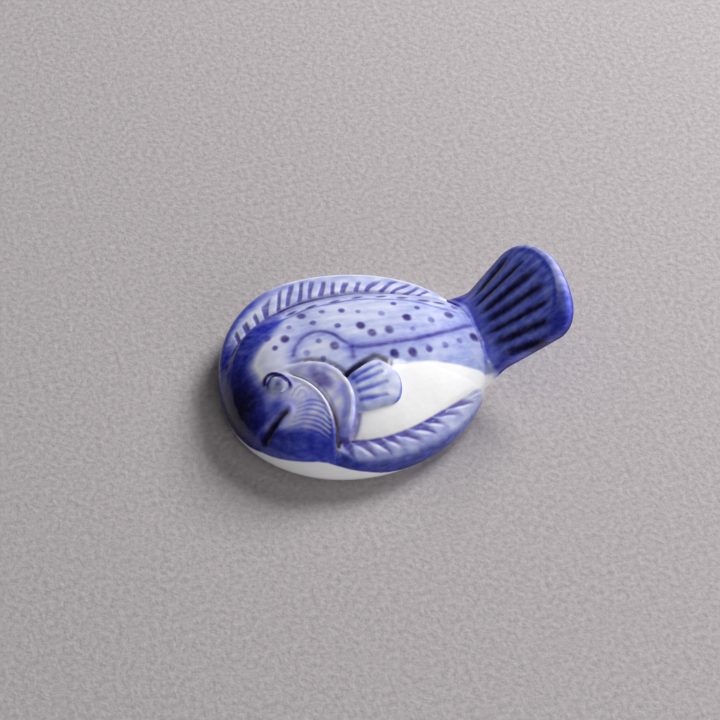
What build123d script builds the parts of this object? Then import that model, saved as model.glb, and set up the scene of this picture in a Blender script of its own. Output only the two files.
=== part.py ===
from build123d import *

import os
from collections import namedtuple
from math import cos, radians, sin

# A chopstick rest: a glazed porcelain flatfish that lies on its flat foot with its tail raised.
# Frame: millimetres, +X from head to tail, +Y to the dorsal fin, +Z up, origin on the flat foot.
# Every form is a dome over an egg-shaped oval, cut to its own region seen from above,
# so neighbouring forms meet face to face.

Reach = namedtuple("Reach", "front rear dorsal ventral")

# The ovals and their common centre
CENTRE = (-6.6, -1.0)
BODY = Reach(front=22.0, rear=26.0, dorsal=16.2, ventral=17.0)
DORSAL_FIN_WIDTH = 5.0
ANAL_FIN_WIDTH = 2.2
REAR_CUT = 3.5
RIM = Reach(
    front=BODY.front,
    rear=BODY.rear - REAR_CUT,
    dorsal=BODY.dorsal + DORSAL_FIN_WIDTH,
    ventral=BODY.ventral + ANAL_FIN_WIDTH,
)
DORSAL_LEAD = 4.4

# Base: the white lower half
RIM_HEIGHT = 2.4
FOOT_INSET = 0.9
BASE_BULGE = 0.5
BASE_BULGE_HEIGHT = 0.8
VENT_DIAMETER = 2.5
VENT_X = -12.0

# Domes above the rim: how far each rises, and how flat its top is (2 is an ellipse)
HEAD_RISE = 10.7
GILL_DROP = 0.6
BODY_RISE = 10.2
ELLIPTIC = 2.0
QUARTER = 90.0
DORSAL_RISE = 5.6
DORSAL_FLATNESS = 4.5
ANAL_RISE = 5.2
ANAL_FLATNESS = 2.6
DOME_STEPS = 6
DOME_TOP_ANGLE = 84.0
WALL = 3.0

# Gill lines: two circles seen from above, and the forehead line that closes the head
CHEEK_CENTRE = (-24.6, -12.0)
CHEEK_RADIUS = 11.0
GILL_CENTRE = (-17.1, -9.5)
GILL_RADIUS = 7.8
FOREHEAD_NEAR = (-19.0, -2.6)
FOREHEAD_MID = (-17.6, 4.5)
FOREHEAD_FAR = (-21.5, 12.0)

# Eye and mouth
EYE_CENTRE = (-20.25, -4.2)
EYE_LENGTH = 4.2
EYE_WIDTH = 3.4
EYE_TURN = -27.0
EYE_PROUD = 0.7
EYE_SEAT = 0.8
EYELID_WIDTH = 0.6
EYELID_PROUD = 0.35
MOUTH_BACK = (-20.0, -8.3)
MOUTH_FRONT = (-24.6, -10.8)
MOUTH_WIDTH = 1.1
MOUTH_DEPTH = 0.9

# Pectoral fin: a fan that lies on the flank behind the gill cover
PECTORAL_ROOT = (-9.8, -9.3)
PECTORAL_LENGTH = 8.4
PECTORAL_WIDEST = 4.2
PECTORAL_ROOT_WIDTH = 5.0
PECTORAL_END_WIDTH = 7.6
PECTORAL_TURN = 6.0
PECTORAL_PROUD = 0.8
PECTORAL_SEAT = 0.6

# Lateral line: a fine groove from the arch over the pectoral fin to the tail
LINE_ARCH = [(-15.6, 1.4), (-14.2, 3.0), (-11.6, 3.3)]
LINE_RUN = [(-7.4, -1.3), (-2.5, -2.5), (4.3, -2.5), (9.8, -1.7)]
LINE_WIDTH = 0.7
LINE_DEPTH = 0.35

# Rays of the two edge fins
DORSAL_RAYS = 16
DORSAL_RAY_SPAN = (38.0, 140.0)
ANAL_RAYS = 11
ANAL_RAY_SPAN = (245.0, 312.0)
RAY_WIDTH = 0.7
RAY_DEPTH = 0.3

# Tail: an arched fan that rises from a flat root behind the body
TAIL_ROOT_INSET = 1.0
TAIL_Y = -0.9
TAIL_ROOT_RISE = 6.1
TAIL_ROOT_GAP = 0.2
TAIL_ANGLE = 40.0
TAIL_REACH = 16.6
TAIL_END_ROUND = 7.0
TAIL_END_ANGLES = (0, 18, 35, 50, 63, 75)
TAIL_ROOT_HALF = 7.5
TAIL_END_HALF = 9.2
TAIL_ROOT_ARCH = 1.6
TAIL_END_ARCH = 0.3
TAIL_ROOT_THICKNESS = 4.6
TAIL_END_THICKNESS = 3.2
TAIL_EDGE_THICKNESS = 2.6
TAIL_EDGE_RADIUS = 0.9
TAIL_RAYS = 7
TAIL_RAY_ROOT_HALF = 4.6
TAIL_RAY_END_HALF = 7.2
TAIL_RAY_RADIUS = 0.6
TAIL_RAY_LIFT = 0.2

# Prisms that cut a region out of a dome are taller than any dome
TALL = RIM_HEIGHT + HEAD_RISE + BODY_RISE
WIDE = 2 * (RIM.front + RIM.rear)


def grown(reach, growth):
    """The same oval with every reach longer by growth."""
    return Reach(*(length + growth for length in reach))


def oval(reach, height, share=1.0):
    """Egg-shaped face of four elliptical quarters; the dorsal two are widest nearer the head."""
    middle = (CENTRE[0] - share * DORSAL_LEAD, CENTRE[1])
    quarters = [
        (middle, 0, reach.rear + DORSAL_LEAD, reach.dorsal),
        (middle, 90, reach.front - DORSAL_LEAD, reach.dorsal),
        (CENTRE, 180, reach.front, reach.ventral),
        (CENTRE, 270, reach.rear, reach.ventral),
    ]
    with BuildSketch(Plane.XY.offset(height)) as outline:
        with BuildLine():
            for centre, start, along, across in quarters:
                EllipticalCenterArc(centre, share * along, share * across, start, arc_size=QUARTER)
        make_face()
    return outline.sketch


def dome(reach, rise, flatness=ELLIPTIC, growth=0.0):
    """Solid dome that stands on the rim height over an oval."""
    layers = []
    for step in range(DOME_STEPS + 1):
        angle = radians(DOME_TOP_ANGLE * step / DOME_STEPS)
        share = cos(angle) ** (2 / flatness)
        height = RIM_HEIGHT + (rise + growth) * sin(angle) ** (2 / flatness)
        layers.append(oval(grown(reach, growth), height, share))
    with BuildPart() as form:
        loft(layers)
    return form.part


def prism(plan):
    """Tall solid over a region seen from above."""
    with BuildPart() as form:
        extrude(plan, amount=TALL)
    return form.part


def seat(plan, floor):
    """Tall solid over a region, reaching down to the dome that is its floor."""
    with BuildPart() as form:
        extrude(plan, amount=TALL)
        add(floor, mode=Mode.SUBTRACT)
        with BuildSketch(Plane.XY):
            Rectangle(WIDE, WIDE)
        extrude(amount=RIM_HEIGHT, mode=Mode.SUBTRACT)
    return form.part


# Regions seen from above
with BuildSketch() as head_plan:
    with Locations(CHEEK_CENTRE):
        Circle(CHEEK_RADIUS)
    with BuildLine():
        ThreePointArc(FOREHEAD_NEAR, FOREHEAD_MID, FOREHEAD_FAR)
        Polyline(FOREHEAD_FAR, (-WIDE, FOREHEAD_FAR[1]), (-WIDE, FOREHEAD_NEAR[1]), FOREHEAD_NEAR)
    make_face()

with BuildSketch() as gill_plan:
    with Locations(GILL_CENTRE):
        Circle(GILL_RADIUS)
    add(head_plan.sketch, mode=Mode.SUBTRACT)

with BuildSketch() as eye_plan:
    with Locations(EYE_CENTRE):
        Ellipse(EYE_LENGTH / 2, EYE_WIDTH / 2, rotation=EYE_TURN)

with BuildSketch() as eyeball_plan:
    with Locations(EYE_CENTRE):
        Ellipse(EYE_LENGTH / 2 - EYELID_WIDTH, EYE_WIDTH / 2 - EYELID_WIDTH, rotation=EYE_TURN)

with BuildSketch() as mouth_plan:
    SlotCenterPoint(
        ((MOUTH_BACK[0] + MOUTH_FRONT[0]) / 2, (MOUTH_BACK[1] + MOUTH_FRONT[1]) / 2),
        MOUTH_FRONT,
        MOUTH_WIDTH,
    )

pectoral_plane = Plane(origin=(*PECTORAL_ROOT, 0)).rotated((0, 0, PECTORAL_TURN))
with BuildSketch(pectoral_plane) as pectoral_plan:
    with BuildLine():
        Line((0, PECTORAL_ROOT_WIDTH / 2), (0, -PECTORAL_ROOT_WIDTH / 2))
        Line((0, -PECTORAL_ROOT_WIDTH / 2), (PECTORAL_WIDEST, -PECTORAL_END_WIDTH / 2))
        ThreePointArc(
            (PECTORAL_WIDEST, -PECTORAL_END_WIDTH / 2),
            (PECTORAL_LENGTH, 0),
            (PECTORAL_WIDEST, PECTORAL_END_WIDTH / 2),
        )
        Line((PECTORAL_WIDEST, PECTORAL_END_WIDTH / 2), (0, PECTORAL_ROOT_WIDTH / 2))
    make_face()

with BuildSketch() as line_plan:
    with BuildLine() as line_path:
        Spline(*LINE_ARCH, *LINE_RUN)
    trace(line_path.line, LINE_WIDTH)
    add(gill_plan.sketch, mode=Mode.SUBTRACT)


def ray_plan(count, span):
    """Narrow strips that radiate from the common centre, seen from above."""
    length = max(RIM)
    with BuildSketch() as strips:
        with Locations(CENTRE):
            with PolarLocations(length, count, span[0], span[1] - span[0], endpoint=True):
                Rectangle(length, RAY_WIDTH)
    return strips.sketch


# Planes of the tail: upright at its root, and along its own direction
tail_root = (CENTRE[0] + RIM.rear - TAIL_ROOT_INSET, TAIL_Y, RIM_HEIGHT + TAIL_ROOT_RISE)
tail_direction = (cos(radians(TAIL_ANGLE)), 0, sin(radians(TAIL_ANGLE)))
root_plane = Plane(origin=tail_root, x_dir=(0, -1, 0), z_dir=(1, 0, 0))
tail_plane = Plane(origin=tail_root, x_dir=(0, -1, 0), z_dir=tail_direction)

# Domes that several pieces share
head_dome = dome(RIM, HEAD_RISE)
head_prism = prism(head_plan.sketch)
gill_prism = prism(gill_plan.sketch)
body_dome = dome(BODY, BODY_RISE)
hollow = dome(BODY, BODY_RISE, growth=-WALL)
eye_seat = seat(eye_plan.sketch, dome(RIM, HEAD_RISE, growth=-EYE_SEAT))
mouth_slit = seat(mouth_plan.sketch, dome(RIM, HEAD_RISE, growth=-MOUTH_DEPTH))
pectoral_seat = seat(pectoral_plan.sketch, dome(BODY, BODY_RISE, growth=-PECTORAL_SEAT))
line_groove = seat(line_plan.sketch, dome(BODY, BODY_RISE, growth=-LINE_DEPTH))
dorsal_floor = dome(RIM, DORSAL_RISE, DORSAL_FLATNESS, growth=-RAY_DEPTH)
anal_floor = dome(RIM, ANAL_RISE, ANAL_FLATNESS, growth=-RAY_DEPTH)
dorsal_grooves = seat(ray_plan(DORSAL_RAYS, DORSAL_RAY_SPAN), dorsal_floor)
anal_grooves = seat(ray_plan(ANAL_RAYS, ANAL_RAY_SPAN), anal_floor)

# Whole body within the rim, before it is parted into head, gill cover and back
with BuildPart() as body:
    add(body_dome)
    extrude(oval(RIM, 0), amount=TALL, mode=Mode.INTERSECT)

# Base: flat foot, sides that swell out to the rim, and a vent for the hollow above
with BuildPart() as base:
    loft([
        oval(grown(RIM, -FOOT_INSET), 0),
        oval(grown(RIM, BASE_BULGE - FOOT_INSET), BASE_BULGE_HEIGHT),
        oval(RIM, RIM_HEIGHT),
    ])
    with Locations((VENT_X, CENTRE[1], RIM_HEIGHT)):
        Hole(VENT_DIAMETER / 2)

# Head: the highest dome, in front of the cheek and forehead lines
with BuildPart() as head:
    add(head_dome)
    add(head_prism, mode=Mode.INTERSECT)
    add(eye_seat, mode=Mode.SUBTRACT)
    add(mouth_slit, mode=Mode.SUBTRACT)
    add(hollow, mode=Mode.SUBTRACT)

# Eye: a ball that stands out of its lid, seated in the head
eyelid_dome = dome(RIM, HEAD_RISE, growth=EYELID_PROUD)
with BuildPart() as eye:
    add(dome(RIM, HEAD_RISE, growth=EYE_PROUD))
    extrude(eyeball_plan.sketch, amount=TALL, mode=Mode.INTERSECT)
    add(eyelid_dome)
    add(eye_seat, mode=Mode.INTERSECT)

# Gill cover: the crescent behind the cheek, one step lower
with BuildPart() as gill_cover:
    add(dome(RIM, HEAD_RISE, growth=-GILL_DROP))
    add(gill_prism, mode=Mode.INTERSECT)
    add(hollow, mode=Mode.SUBTRACT)

# Back: the shell from the gills to the tail root
with BuildPart() as back:
    add(body.part)
    add(head_prism, mode=Mode.SUBTRACT)
    add(gill_prism, mode=Mode.SUBTRACT)
    add(pectoral_seat, mode=Mode.SUBTRACT)
    add(line_groove, mode=Mode.SUBTRACT)
    add(hollow, mode=Mode.SUBTRACT)
    split(bisect_by=root_plane, keep=Keep.BOTTOM)

# Pectoral fin: a fan seated in the flank, its root behind the gill cover
with BuildPart() as pectoral_fin:
    add(dome(BODY, BODY_RISE, growth=PECTORAL_PROUD))
    add(pectoral_seat, mode=Mode.INTERSECT)
    add(gill_prism, mode=Mode.SUBTRACT)


def edge_fin(side, form, grooves):
    """Part of a low dome outside the body's dome, on the dorsal side (1) or the ventral side (-1)."""
    with BuildPart() as fin:
        add(form)
        with BuildSketch(Plane.XY):
            with Locations((CENTRE[0], CENTRE[1] + side * WIDE / 2)):
                Rectangle(WIDE, WIDE)
        extrude(amount=TALL, mode=Mode.INTERSECT)
        add(body_dome, mode=Mode.SUBTRACT)
        add(head_prism, mode=Mode.SUBTRACT)
        add(gill_prism, mode=Mode.SUBTRACT)
        add(grooves, mode=Mode.SUBTRACT)
    return fin


dorsal_fin = edge_fin(1, dome(RIM, DORSAL_RISE, DORSAL_FLATNESS), dorsal_grooves)
anal_fin = edge_fin(-1, dome(RIM, ANAL_RISE, ANAL_FLATNESS), anal_grooves)


def between(root, end, along):
    """Value at a distance along the tail, straight from its root to its end."""
    return root + (end - root) * along / TAIL_REACH


def tail_section(plane, half, arch, thickness):
    """Section of the tail, arched above and full below, hanging from the plane's origin."""
    lower = arch + TAIL_EDGE_THICKNESS
    with BuildSketch(plane) as section:
        with BuildLine():
            ThreePointArc((-half, arch), (0, 0), (half, arch))
            Line((half, arch), (half, lower))
            ThreePointArc((half, lower), (0, thickness), (-half, lower))
            Line((-half, lower), (-half, arch))
        make_face()
        fillet(section.vertices(), TAIL_EDGE_RADIUS)
    return section.sketch


# Tail: an upright section against the back, then sections square to the tail's own direction
tail_sections = [tail_section(root_plane, TAIL_ROOT_HALF, TAIL_ROOT_ARCH, TAIL_ROOT_RISE - TAIL_ROOT_GAP)]
for angle in TAIL_END_ANGLES:
    along = TAIL_REACH - TAIL_END_ROUND * (1 - sin(radians(angle)))
    half = TAIL_END_HALF * cos(radians(angle))
    arch = between(TAIL_ROOT_ARCH, TAIL_END_ARCH, along) * (half / TAIL_END_HALF) ** 2
    thickness = between(TAIL_ROOT_THICKNESS, TAIL_END_THICKNESS, along)
    tail_sections.append(tail_section(tail_plane.offset(along), half, arch, thickness))


def tail_ray(place):
    """Round bar along the tail's upper face, at a place from -1 to 1 across it."""
    ends = []
    for along, reach in [(0, TAIL_RAY_ROOT_HALF), (TAIL_REACH, TAIL_RAY_END_HALF)]:
        arch = between(TAIL_ROOT_ARCH, TAIL_END_ARCH, along)
        depth = arch * (place * reach / TAIL_END_HALF) ** 2 - TAIL_RAY_LIFT
        ends.append(tail_plane.offset(along).from_local_coords((place * reach, depth, 0)))
    root, end = ends
    with BuildPart() as bar:
        with BuildSketch(Plane(origin=root, z_dir=end - root)):
            Circle(TAIL_RAY_RADIUS)
        extrude(amount=(end - root).length)
    return bar.part


tail_rays = [tail_ray(2 * count / (TAIL_RAYS - 1) - 1) for count in range(TAIL_RAYS)]

with BuildPart() as tail_fin:
    loft(tail_sections, ruled=True)
    for bar in tail_rays:
        add(bar, mode=Mode.SUBTRACT)

os.makedirs("parts", exist_ok=True)
pieces = {
    "base": base,
    "head": head,
    "eye": eye,
    "gill_cover": gill_cover,
    "back": back,
    "pectoral_fin": pectoral_fin,
    "dorsal_fin": dorsal_fin,
    "anal_fin": anal_fin,
    "tail_fin": tail_fin,
}
for name, piece in pieces.items():
    piece.part.label = name
    export_step(piece.part, f"parts/{name}.step")
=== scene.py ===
from collections import namedtuple
from math import cos, radians, sin, tau

import bpy
import numpy as np
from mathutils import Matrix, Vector


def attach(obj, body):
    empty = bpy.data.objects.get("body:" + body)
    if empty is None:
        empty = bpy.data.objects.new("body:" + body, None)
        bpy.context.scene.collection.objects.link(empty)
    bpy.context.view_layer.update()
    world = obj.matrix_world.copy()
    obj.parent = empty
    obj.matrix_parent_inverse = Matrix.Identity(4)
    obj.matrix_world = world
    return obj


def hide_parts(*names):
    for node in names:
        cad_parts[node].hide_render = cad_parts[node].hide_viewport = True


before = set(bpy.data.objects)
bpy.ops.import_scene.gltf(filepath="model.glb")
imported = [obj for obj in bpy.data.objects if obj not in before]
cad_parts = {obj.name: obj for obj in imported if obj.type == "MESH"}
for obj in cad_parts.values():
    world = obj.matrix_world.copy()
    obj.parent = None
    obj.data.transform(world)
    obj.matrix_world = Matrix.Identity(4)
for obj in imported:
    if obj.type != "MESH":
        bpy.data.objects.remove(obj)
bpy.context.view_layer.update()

# Sizes and places in millimetres. +X runs from head to tail, +Y to the dorsal fin, +Z up from the foot.
MM = 0.001
FAR = 1e9
CENTRE = (-6.6, -1.0)
RIM_HEIGHT = 2.4

# Ovals by their reach from the centre: front, rear, dorsal and ventral
RIM = (22.0, 22.5, 21.2, 19.2)
BODY = (22.0, 26.0, 16.2, 18.0)
DORSAL_LEAD = 4.4

# Rise of each form above the rim
HEAD_RISE = 10.7
BODY_RISE = 10.2
DORSAL_RISE = 5.6
ANAL_RISE = 5.9

# Powers of the fins' cross sections: the higher, the flatter the top and the tighter the edge
DORSAL_FLATNESS = 4.5
ANAL_FLATNESS = 3.0

# How tightly the body turns down to the rim, as two powers
BODY_EDGE = (40, 0.4)

# The belly's even fall, how wide it blends into the dome, and the directions it holds for
BELLY_DROP = 0.65
BELLY_BLEND = 6.0
BELLY_SPAN = (205.0, 245.0, 295.0, 350.0)

# Head: circles as x, y and radius, lines as points
CHEEK = (-24.6, -12.0, 11.0)
GILL = (-17.1, -9.5, 7.8)
FOREHEAD = [(-19.0, -2.6), (-17.6, 4.5), (-21.5, 12.0)]
MOUTH = [(-24.2, -10.5), (-23.4, -10.1), (-22.6, -9.7), (-21.3, -9.1), (-20.4, -8.8)]
SWIRLS = [
    [(-18.6, -6.4), (-17.6, -5.6), (-16.4, -5.7), (-15.6, -6.8), (-15.9, -7.8)],
    [(-17.9, -6.9), (-17.2, -6.3), (-16.6, -6.6), (-16.6, -7.4), (-17.3, -7.6)],
]
WRINKLES = [
    [(-18.4, -9.2), (-16.3, -9.5), (-14.6, -10.8), (-14.0, -12.2)],
    [(-18.8, -9.7), (-17.0, -10.0), (-15.1, -11.3), (-14.2, -12.9)],
    [(-19.3, -10.2), (-17.7, -10.6), (-15.6, -11.9), (-14.4, -13.5)],
    [(-19.8, -10.7), (-18.0, -11.1), (-16.0, -12.4), (-14.6, -14.1)],
    [(-20.3, -11.2), (-18.3, -11.7), (-16.3, -13.0), (-14.9, -14.7)],
    [(-20.8, -11.8), (-18.7, -12.3), (-16.7, -13.6), (-15.3, -15.2)],
    [(-17.9, -8.6), (-15.9, -8.9), (-14.3, -10.2), (-13.8, -11.4)],
]

EYE_CENTRE = (-20.2, -3.95)
EYE_HALF_LENGTH = 1.95
EYE_HALF_WIDTH = 1.35
EYE_TURN = radians(-37.0)
EYE_LIFT = 0.5
EYE_DEPTH = 0.6
EYE_ROUNDNESS = 2.2
EYE_KNOB = (-19.8, -5.7)
EYELID = [
    (-22.0, -2.9), (-21.8, -2.2), (-21.2, -1.7), (-20.3, -1.8), (-19.3, -2.8), (-18.6, -4.2), (-18.4, -5.2),
]
INNER_LID = [(-21.4, -2.6), (-20.5, -2.3), (-19.5, -3.2), (-18.9, -4.3)]

# Flank
LATERAL = [(-16.4, 0.2), (-15.5, 1.8), (-13.3, 3.3), (-11.1, 3.3), (-9.3, 2.0), (-8.2, 0.1), (-7.0, -1.7)]
LATERAL_REAR = [
    (-7.0, -1.7), (-4.9, -2.3), (-0.7, -2.6), (3.7, -2.7), (7.6, -2.1), (10.2, -1.7), (13.7, -0.6),
]
LATERAL_HOOK = [(-7.0, -1.6), (-7.4, -3.6)]

PECTORAL_GAP = [(-9.5, -6.5), (-7.1, -5.4), (-5.5, -4.8), (-4.2, -4.4), (-3.2, -4.9), (-2.0, -6.2)]
PECTORAL_OUTLINE = [
    (-10.4, -7.4), (-9.1, -6.7), (-7.4, -6.1), (-5.6, -5.5), (-3.9, -5.4), (-2.6, -6.3), (-1.6, -7.6),
    (-1.2, -9.1), (-1.5, -10.8), (-2.2, -11.9), (-3.4, -12.5), (-5.4, -12.6), (-7.7, -12.6), (-9.6, -12.3),
    (-10.4, -11.6),
]
PECTORAL_MIDDLE = (-5.6, -9.2)
PECTORAL_DEPTH = 0.6
PECTORAL_ROUNDNESS = 4.0
PECTORAL_STROKES = [
    [(-8.6, -7.4), (-6.2, -6.8), (-3.9, -6.3)],
    [(-8.3, -8.3), (-5.9, -8.0), (-4.0, -7.6)],
    [(-8.4, -9.7), (-5.8, -9.6), (-3.7, -9.4)],
    [(-8.5, -11.0), (-6.4, -11.2), (-4.3, -11.3)],
]

# Edge fins: root line as distance from the centre by direction in degrees, directions between which the fin
# fades in and out, and a row of strokes, by x on the dorsal fin and by direction on the anal fin
DORSAL_ROOT = [
    (15.0, 21.6), (27.0, 19.5), (36.4, 17.1), (54.6, 15.1), (83.5, 14.3), (107.8, 15.1),
    (127.9, 16.6), (141.2, 18.0), (150.0, 19.1), (158.4, 19.9), (168.0, 20.5), (176.0, 21.6),
]
DORSAL_SPAN = (12.0, 18.0, 154.0, 176.0)
DORSAL_STROKES = 17
DORSAL_FIRST = -23.0
DORSAL_STEP = 1.91
ANAL_ROOT = [
    (232.0, 16.9), (243.0, 15.6), (252.0, 15.4), (269.3, 15.5), (280.7, 15.6), (295.3, 16.1),
    (306.0, 16.8), (315.9, 18.0), (325.4, 19.7), (331.0, 21.1),
]
ANAL_SPAN = (230.0, 233.0, 316.0, 334.0)
ANAL_ENDS = (231.5, 331.0)
ANAL_STROKES = 9
ANAL_FIRST = 247.0
ANAL_STEP = 8.6

# Tail: s runs along it from its root, u across it and w up from its middle line
TAIL_ROOT = (14.9, -0.9, 8.5)
TAIL_TILT = radians(40.0)
TAIL_BEND = (-2.5, 1.0)
TAIL_START = -4.0
TAIL_SQUARE = 9.6
TAIL_REACH = 16.6
TAIL_MIDDLE = (4.0, -0.3)
TAIL_ROUNDNESS = 6.0
TAIL_ARCH = 1.6
TAIL_ARCH_END = 0.2
TAIL_DEPTH = 4.8
TAIL_TAPER = 1.6
TAIL_EDGE_DEPTH = 2.6
TAIL_MEAN_ROOT = 8.0
TAIL_MEAN_END = 10.0
TAIL_MEAN_RUN = 10.0
TAIL_ROOT_EDGE = (-9.5, 8.5)
TAIL_CREASE = [
    (-10.0, -0.4), (-7.8, -0.5), (-5.1, -0.9), (-3.1, -0.3), (-0.4, -0.4), (3.1, -0.4), (5.3, -0.7),
    (9.0, -2.0),
]
TailSide = namedtuple("TailSide", "root end square power flare flare_from flare_to")
TAIL_DORSAL = TailSide(root=8.8, end=9.8, square=8.6, power=2.0, flare=0.8, flare_from=-3.0, flare_to=0.5)
TAIL_VENTRAL = TailSide(root=7.7, end=10.4, square=11.5, power=2.5, flare=2.4, flare_from=-3.2, flare_to=0.2)
RAY_STEP = 1.95
RAY_SPREAD = 0.1
RAY_SHIFT = 0.3
RAY_DRIFT = 0.09
RAYS_BESIDE_MIDDLE = 3

# Foot: how far its side leans in by height, a ring groove as inset and height, and the vent
FOOT_LEAN = [
    (0.0, 1.6), (0.05, 1.4), (0.3, 1.1), (0.8, 0.67), (1.2, 0.41), (1.6, 0.21), (2.0, 0.08), (2.4, 0.0),
]
FOOT_GROOVE = [(2.4, 0.0), (2.1, 0.1), (1.9, 0.1), (1.6, 0.0)]
FOOT_BEVEL = 0.05
VENT_RADIUS = 1.25
VENT_SHIFT = -5.4

# Mesh density, as rows and columns
TRUNK_ROWS = 150
TRUNK_COLUMNS = 800
EYE_MESH = (24, 96)
PECTORAL_MESH = (48, 240)
TAIL_MESH = (80, 560)
BASE_COLUMNS = 960
BASE_HEIGHTS = 30

# The trunk's regions, and the node and material slot of each in the same order
HEAD, COVER, BACK, DORSAL, ANAL = range(5)
TRUNK_NODES = [
    ("head", "deep_cobalt_glaze"),
    ("gill_cover", "pale_cobalt_glaze"),
    ("back", "spotted_glaze"),
    ("dorsal_fin", "pale_cobalt_glaze"),
    ("anal_fin", "deep_cobalt_glaze"),
]


# Curves and distances


def smooth(low, high, value):
    """0 below low, 1 above high, an even curve between."""
    t = np.clip((value - low) / (high - low), 0, 1)
    return t * t * (3 - 2 * t)


def fade(low, high, value):
    """1 below low, 0 above high."""
    return 1 - smooth(low, high, value)


def window(start, full, thin, end, value):
    """0 before start, 1 from full to thin, 0 after end."""
    return smooth(start, full, value) * fade(thin, end, value)


def hump(distance, width):
    """A round bump, 1 at no distance."""
    return np.exp(-((distance / width) ** 2))


def patch(x, y, centre, width, squash=1.0):
    """A soft patch, 1 at its centre; a squash below 1 draws it out along Y."""
    return hump(np.hypot(x - centre[0], (y - centre[1]) * squash), width)


def lookup(points, at):
    """Value between given points."""
    places, values = zip(*points)
    return np.interp(at, places, values)


def curve(points, steps=8):
    """A smooth line through points."""
    p = np.array(points, float)
    ends = np.vstack([2 * p[0] - p[1], p, 2 * p[-1] - p[-2]])
    t = np.linspace(0, 1, steps, endpoint=False)[:, None]
    rows = []
    for a, b, c, d in zip(ends, ends[1:], ends[2:], ends[3:]):
        square = 2 * a - 5 * b + 4 * c - d
        cube = 3 * b - a - 3 * c + d
        rows.append(0.5 * (2 * b + (c - a) * t + square * t**2 + cube * t**3))
    return np.vstack(rows + [p[-1:]])


def near_line(points, x, y):
    """Distance to a smooth line, and the place along it from 0 to 1."""
    line = curve(points)
    lengths = np.hypot(*np.diff(line, axis=0).T)
    starts = np.concatenate([[0], np.cumsum(lengths)])
    gap = np.full(np.shape(x), FAR)
    place = np.zeros(np.shape(x))
    for (ax, ay), (bx, by), length, start in zip(line[:-1], line[1:], lengths, starts):
        t = np.clip(((x - ax) * (bx - ax) + (y - ay) * (by - ay)) / length**2, 0, 1)
        d = np.hypot(x - ax - t * (bx - ax), y - ay - t * (by - ay))
        place = np.where(d < gap, (start + t * length) / starts[-1], place)
        gap = np.minimum(gap, d)
    return gap, place


def circle_gap(circle, x, y):
    """Distance outside a circle, negative inside."""
    return np.hypot(x - circle[0], y - circle[1]) - circle[2]


def circle_through(points):
    """Centre and radius of the circle through three points."""
    a, b, c = np.array(points)
    sums = np.array([b @ b - a @ a, c @ c - a @ a]) / 2
    x, y = np.linalg.solve(np.array([b - a, c - a]), sums)
    return x, y, np.hypot(a[0] - x, a[1] - y)


FOREHEAD_CIRCLE = circle_through(FOREHEAD)
FOREHEAD_FOOT = FOREHEAD[0][1]
FOREHEAD_TOP = FOREHEAD[-1][1]


def oval_share(reach, x, y):
    """How far out a point is in an egg-shaped oval: 0 at the centre, 1 on its edge."""
    front, rear, dorsal, ventral = reach
    dx, dy = x - CENTRE[0], y - CENTRE[1]
    ventral_share = np.hypot(dx / np.where(dx > 0, rear, front), dy / ventral)

    def quarter(length):
        """The dorsal quarters are widest nearer the head, so a square equation gives the share."""
        square = (dx / length) ** 2 + (dy / dorsal) ** 2
        slope = dx * DORSAL_LEAD / length**2
        rest = 1 - (DORSAL_LEAD / length) ** 2
        return (slope + np.sqrt(slope**2 + square * rest)) / rest

    behind = quarter(rear + DORSAL_LEAD)
    before = quarter(front - DORSAL_LEAD)
    dorsal_share = np.where(dx + DORSAL_LEAD * behind > 0, behind, before)
    return np.where(dy > 0, dorsal_share, ventral_share)


def rim_reach(angle):
    """Distance from the centre to the rim in a direction in radians."""
    return 1 / oval_share(RIM, CENTRE[0] + np.cos(angle), CENTRE[1] + np.sin(angle))


def direction(x, y):
    """Direction from the centre in degrees, 0 to 360, and the distance."""
    dx, dy = x - CENTRE[0], y - CENTRE[1]
    return np.degrees(np.arctan2(dy, dx)) % 360, np.hypot(dx, dy)


def root_reach(roots, angle):
    """Distance from the centre to a fin's root in a direction in degrees."""
    line = curve(roots)
    return np.interp(angle, line[:, 0], line[:, 1])


def fin_place(roots, x, y):
    """Distance outside a fin's root, share of the way to the rim, and direction in degrees."""
    angle, away = direction(x, y)
    start = root_reach(roots, angle)
    share = oval_share(RIM, x, y)
    rim = np.where(share > 0, away / np.maximum(share, 1e-9), FAR)
    return away - start, (away - start) / np.maximum(rim - start, 0.05), angle


# Heights of the trunk


def dome_height(x, y):
    """The body's dome, which falls more evenly on the belly's side."""
    share = oval_share(BODY, x, y)
    dome = np.sqrt(np.maximum(1 - share**2, 0))
    belly = 1 - BELLY_DROP * share**2
    return RIM_HEIGHT + BODY_RISE * (dome + (belly - dome) * smooth(0.0, BELLY_BLEND, CENTRE[1] - y))


def brim_height(x, y):
    """The two edge fins as low, flat-topped brims."""
    share = np.minimum(oval_share(RIM, x, y), 1)
    dorsal = DORSAL_RISE * (1 - share**DORSAL_FLATNESS) ** (1 / DORSAL_FLATNESS)
    anal = ANAL_RISE * (1 - share**ANAL_FLATNESS) ** (1 / ANAL_FLATNESS)
    return RIM_HEIGHT + np.where(y > CENTRE[1], dorsal, anal)


def belly_fall(x, y):
    """Lets the belly down or up to meet the anal fin's root without a step."""
    angle, away = direction(x, y)
    start = root_reach(ANAL_ROOT, angle)
    root_x = CENTRE[0] + start * np.cos(np.radians(angle))
    root_y = CENTRE[1] + start * np.sin(np.radians(angle))
    step = brim_height(root_x, root_y) - dome_height(root_x, root_y)
    return step * np.minimum(away / start, 1.1) ** 2 * window(*BELLY_SPAN, angle)


def body_height(x, y):
    return dome_height(x, y) + belly_fall(x, y)


def head_height(x, y):
    return RIM_HEIGHT + HEAD_RISE * np.sqrt(np.maximum(1 - oval_share(RIM, x, y) ** 2, 0))


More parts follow.
